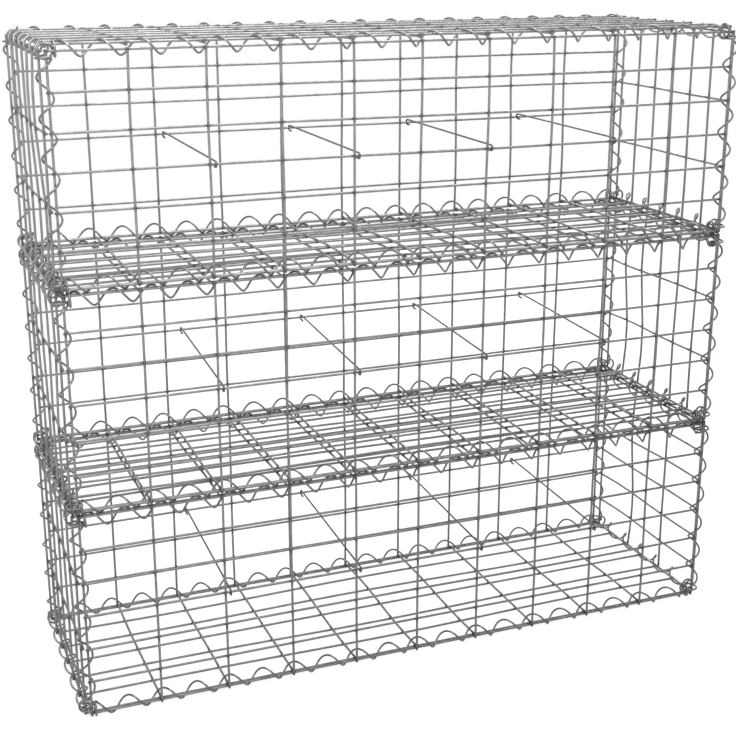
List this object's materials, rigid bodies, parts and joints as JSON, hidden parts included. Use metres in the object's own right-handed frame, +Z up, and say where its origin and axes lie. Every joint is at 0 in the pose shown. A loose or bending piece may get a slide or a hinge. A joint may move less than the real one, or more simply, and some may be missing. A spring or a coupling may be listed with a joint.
{
  "type": "gabion wall",
  "caption": "Wall of empty stacked gabion baskets: welded wire mesh panels laced along their edges with spiral binders and held by tie wires.",
  "frame": {"origin": "centre of the footprint, at the level of the lowest binder turns that stand on the ground", "axes": "+X along the wall, +Y from the front to the back, +Z up"},
  "size_m": [1.0328, 0.328, 0.935],
  "materials": {
    "mesh_wire": "galvanised welded wire, dull zinc grey",
    "binder_wire": "galvanised spiral wire, slightly brighter zinc",
    "tie_wire": "galvanised tie wire, darker zinc"
  },
  "bodies": {
    "root": {"lower_base": "mesh_wire", "lower_lid": "mesh_wire", "lower_front": "mesh_wire", "lower_back": "mesh_wire", "lower_left_end": "mesh_wire", "lower_right_end": "mesh_wire", "lower_base_binders": "binder_wire", "lower_lid_binders": "binder_wire", "lower_corner_binders": "binder_wire", "lower_tie_1": "tie_wire", "lower_tie_2": "tie_wire", "lower_tie_3": "tie_wire", "lower_tie_4": "tie_wire", "middle_base": "mesh_wire", "middle_lid": "mesh_wire", "middle_front": "mesh_wire", "middle_back": "mesh_wire", "middle_left_end": "mesh_wire", "middle_right_end": "mesh_wire", "middle_base_binders": "binder_wire", "middle_lid_binders": "binder_wire", "middle_corner_binders": "binder_wire", "middle_tie_1": "tie_wire", "middle_tie_2": "tie_wire", "middle_tie_3": "tie_wire", "middle_tie_4": "tie_wire", "upper_base": "mesh_wire", "upper_lid": "mesh_wire", "upper_front": "mesh_wire", "upper_back": "mesh_wire", "upper_left_end": "mesh_wire", "upper_right_end": "mesh_wire", "upper_base_binders": "binder_wire", "upper_lid_binders": "binder_wire", "upper_corner_binders": "binder_wire", "upper_tie_1": "tie_wire", "upper_tie_2": "tie_wire", "upper_tie_3": "tie_wire", "upper_tie_4": "tie_wire"}
  },
  "joints": []
}
